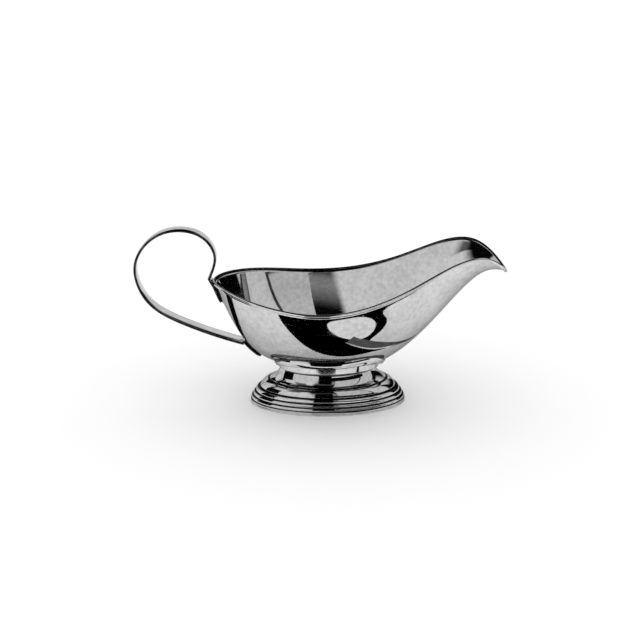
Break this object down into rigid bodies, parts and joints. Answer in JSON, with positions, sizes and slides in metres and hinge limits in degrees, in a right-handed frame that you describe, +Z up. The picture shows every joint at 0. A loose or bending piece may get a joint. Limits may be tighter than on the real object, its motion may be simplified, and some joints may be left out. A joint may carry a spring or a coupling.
{
  "type": "sauce boat",
  "caption": "Footed metal sauce boat with a raised pouring lip, beaded rim, stepped oval foot and looped strip handle.",
  "frame": {"origin": "centre of the foot's rest face, on the plane the boat stands on", "axes": "+X from the handle towards the pouring lip, +Y across the boat, +Z up"},
  "size_m": [0.207, 0.0906, 0.1021],
  "materials": {
    "bowl_silver": "mirror-polished silver plate with very fine wiping scratches",
    "rim_silver": "mirror-polished silver plate, a little worn along the crest",
    "foot_silver": "mirror-polished silver plate, faintly tarnished in the grooves",
    "handle_silver": "mirror-polished silver plate with fine lengthwise scratches",
    "solder": "dull grey solder"
  },
  "bodies": {
    "root": {"bowl": "bowl_silver", "rim_bead": "rim_silver", "collar": "foot_silver", "collar_seam": "solder", "foot": "foot_silver", "neck_seam": "solder", "rest_ring": "foot_silver", "handle": "handle_silver", "lower_solder": "solder", "upper_solder": "solder"}
  },
  "joints": []
}
